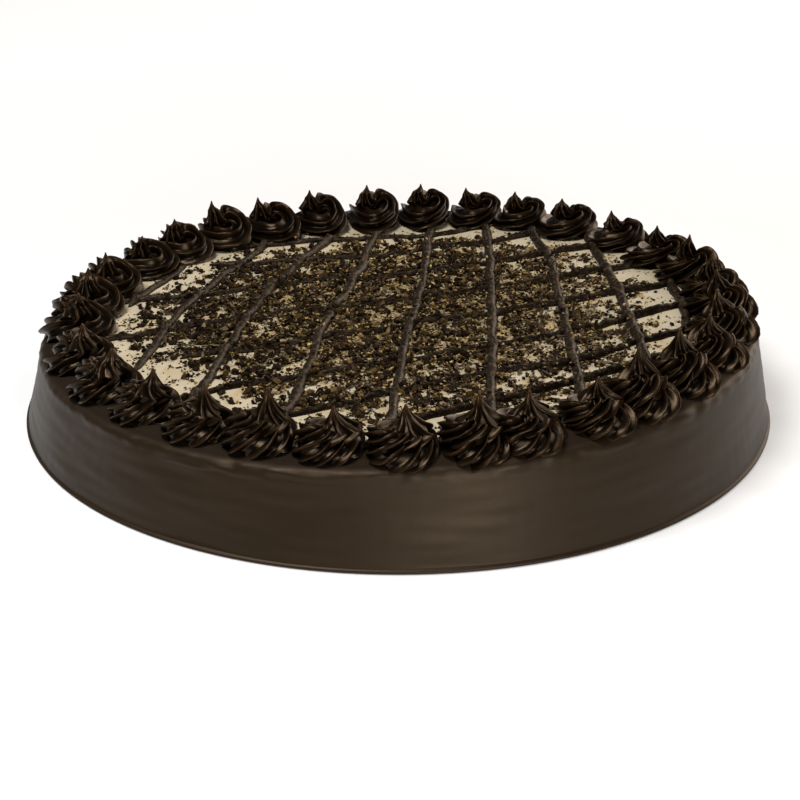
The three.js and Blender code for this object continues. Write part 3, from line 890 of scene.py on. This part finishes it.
def add_strewn(name, material, draw, places, heights, shapes, faces, sizes, darker=0.25):
    """All bits of one kind in one mesh, each leaned and turned at random, and each with its own tone, which
    is darker by up to the given share at the left."""
    centres = np.concatenate([places, heights[:, None]], axis=1)
    turns = any_turns(draw, len(places), STREWN_TILT)
    points, faces = joined_copies(shapes, faces, turns, sizes, centres)
    tones = draw.uniform(0, 1, len(places)) - darker * step_up(20, 80, -places[:, 0])
    tones = np.repeat(np.clip(tones, 0, 1), shapes.shape[-2])
    bits = add_piece(name, leaned(points), [faces], material, smooth=False, tones=tones)


def add_chips():
    """Broken lumps, smaller on the right: each is the rough lump with every corner moved in or out at random,
    and flattened a little. Its half-length is from 0.4 to 1.75 mm, and few are large."""
    draw = np.random.default_rng(31)
    places = strewn_places(CHIP_COUNT, 32, -12, 9)
    count = len(places)
    lump, faces = rough_lump()
    shapes = lump[None] * draw.uniform(0.6, 1.25, (count, len(lump), 1))
    half = 0.4 + 1.35 * draw.uniform(0, 1, count) ** 2.8
    half = half * (1 - 0.35 * step_up(10, 70, places[:, 0]))
    sizes = bit_sizes(draw, half, (0.45, 0.95), (0.4, 0.8))
    heights = strewn_heights(places, draw, 1.3) + sizes[:, 2] * 0.5
    add_strewn("grated_chips", CHIP, draw, places, heights, shapes, faces, sizes)


def flake_shape():
    """A bent flake: a lens-thin section of four corners, carried along an arc two long in three steps and
    narrower at its ends."""
    share = np.linspace(-1, 1, 4)
    bend = share * 0.6
    spine = np.stack([np.sin(bend) / 0.6, np.zeros(4), (1 - np.cos(bend)) / 0.6], axis=-1)
    width = np.sqrt(np.clip(1.2 - share ** 2, 0, 1))
    out = np.stack([-np.sin(bend), np.zeros(4), np.cos(bend)], axis=-1)
    rings = np.empty((4, 4, 3))
    for corner, (side, thick) in enumerate([(1, 0), (0, 1), (-1, 0), (0, -1)]):
        rings[:, corner] = spine + out * (0.12 * thick)
        rings[:, corner, 1] += side * width
    points, faces = capped_rings(rings, rings[0].mean(axis=0), rings[-1].mean(axis=0))
    quads, low_fan, high_fan = faces
    split = np.concatenate([quads[:, [0, 1, 2]], quads[:, [0, 2, 3]], low_fan, high_fan])
    return points, split[:, ::-1]


def add_flakes():
    """Thin bent flakes, two to five times as long as wide, lying at all angles on the cream and on one
    another. Their half-length is from 0.7 to 2.2 mm."""
    draw = np.random.default_rng(41)
    places = strewn_places(FLAKE_COUNT, 42, -24, 2)
    shape, faces = flake_shape()
    half = 0.7 + 1.5 * draw.uniform(0, 1, len(places)) ** 2
    sizes = bit_sizes(draw, half, (0.2, 0.45), (0.5, 1.0))
    heights = strewn_heights(places, draw, 1.3) + 0.4
    add_strewn("chocolate_flakes", FLAKE, draw, places, heights, shape, faces, sizes, darker=0)


def add_crumbs():
    """The finest gratings: rough slivers of six corners, from half a millimetre to two and a half long. They
    are scattered the furthest beyond the cover's edge."""
    draw = np.random.default_rng(51)
    places = strewn_places(CRUMB_COUNT, 52, -14, 24)
    count = len(places)
    corners = np.array([(1, 0, 0), (0, 1, 0), (-1, 0, 0), (0, -1, 0), (0, 0, 1), (0, 0, -1)], float)
    faces = [(k, (k + 1) % 4, 4) for k in range(4)] + [((k + 1) % 4, k, 5) for k in range(4)]
    shapes = corners[None] * draw.uniform(0.6, 1.3, (count, len(corners), 1))
    half = 0.3 + 0.75 * draw.uniform(0, 1, count) ** 1.6
    sizes = bit_sizes(draw, half, (0.25, 0.75), (0.3, 0.6))
    heights = strewn_heights(places, draw, 1.8) + 0.1
    add_strewn("chocolate_crumbs", CRUMB, draw, places, heights, shapes, np.array(faces), sizes)


# The studio: a pale floor and soft lights.
FLOOR_HALF = 12000  # half the floor's side
FLOOR_DROP = 0.05  # how far the floor lies under the foot

# How much light of its own the floor gives, by its distance from the cake's middle in metres.
FLOOR_GLOW = [(0.0, 0.28), (0.25, 0.34), (0.6, 0.59), (1.2, 0.72), (2.0, 0.15)]


def add_floor():
    """A wide square floor just under the foot, with a little light of its own, as a lit table has."""
    corners = [(-1, -1), (1, -1), (1, 1), (-1, 1)]
    points = [(FLOOR_HALF * x * MM, FLOOR_HALF * y * MM, -FLOOR_DROP * MM) for x, y in corners]
    mesh = bpy.data.meshes.new("floor")
    mesh.from_pydata(points, [], [(0, 1, 2, 3)])
    material, tree, output, place = new_material("pale studio floor")
    cloud = add_node(tree, "ShaderNodeTexNoise", {"Scale": per_metre(400)}, {"Vector": place})
    tint = add_node(tree, "ShaderNodeMapRange", {"To Min": 0.62, "To Max": 0.66},
                    {"Value": cloud.outputs["Fac"]})
    distance = add_node(tree, "ShaderNodeVectorMath", operation="LENGTH", links={0: place})
    far = FLOOR_GLOW[-1][0]
    share = add_node(tree, "ShaderNodeMapRange", {"From Max": far},
                     {"Value": distance.outputs["Value"]})
    glow = add_node(tree, "ShaderNodeValToRGB", links={"Fac": share.outputs["Result"]})
    steps = glow.color_ramp.elements
    for index, (metres, strength) in enumerate(FLOOR_GLOW):
        step = steps[index] if index < 2 else steps.new(metres / far)
        step.position = metres / far
        step.color = (strength, strength, strength, 1)
    finish_material(tree, output,
                    {"Roughness": 0.9, "Specular IOR Level": 0.1, "Emission Color": (1, 1, 1, 1)},
                    {"Base Color": tint.outputs["Result"], "Emission Strength": glow.outputs["Color"]})
    mesh.materials.append(material)
    floor = bpy.data.objects.new("floor", mesh)
    bpy.context.collection.objects.link(floor)


def add_softbox(name, place, aim, size, power, colour="#ffffff"):
    """A square or oblong area light, sized in metres, turned towards a point."""
    data = bpy.data.lights.new(name, "AREA")
    data.shape = "RECTANGLE"
    data.size, data.size_y = size
    data.energy = power
    data.color = linear(colour)[:3]
    lamp = bpy.data.objects.new(name, data)
    bpy.context.collection.objects.link(lamp)
    lamp.location = place
    lamp.rotation_euler = (Vector(aim) - Vector(place)).to_track_quat("-Z", "Y").to_euler()


def add_lights():
    """A dim surround, a square box overhead at the left, a small low box in front on the right that draws the
    wall's highlight, a wide pale panel behind on the right that brightens that edge, and a faint one behind
    on the left."""
    world = bpy.data.worlds.new("studio")
    world.use_nodes = True
    bpy.context.scene.world = world
    background = world.node_tree.nodes["Background"]
    background.inputs["Color"].default_value = (1, 1, 1, 1)
    background.inputs["Strength"].default_value = 0.05
    add_softbox("overhead_box", (-0.26, -0.2, 0.78), (0, 0, 0), (0.36, 0.36), 7.2)
    add_softbox("front_box", (0.42, -1.24, 0.24), (0, 0, 0.02), (0.18, 0.36), 8)
    add_softbox("right_panel", (1.0, 0.9, 0.6), (0, 0, 0.03), (1.5, 1.1), 17, "#ffedda")
    add_softbox("left_panel", (-1.2, 1.2, 0.5), (0, 0, 0.03), (0.6, 0.5), 0.6, "#ffeedc")


add_body()
add_cream()
add_ropes("lattice_lower", LOWER_ROPES, LOWER_ROPE, LOWER_ICING, 1)
add_ropes("lattice_upper", UPPER_ROPES, UPPER_ROPE, UPPER_ICING, 40, LOWER_LIFT_MAP)
add_rosettes()
add_chips()
add_flakes()
add_crumbs()
add_floor()
add_lights()

scene = bpy.context.scene
scene.view_settings.view_transform = "Standard"
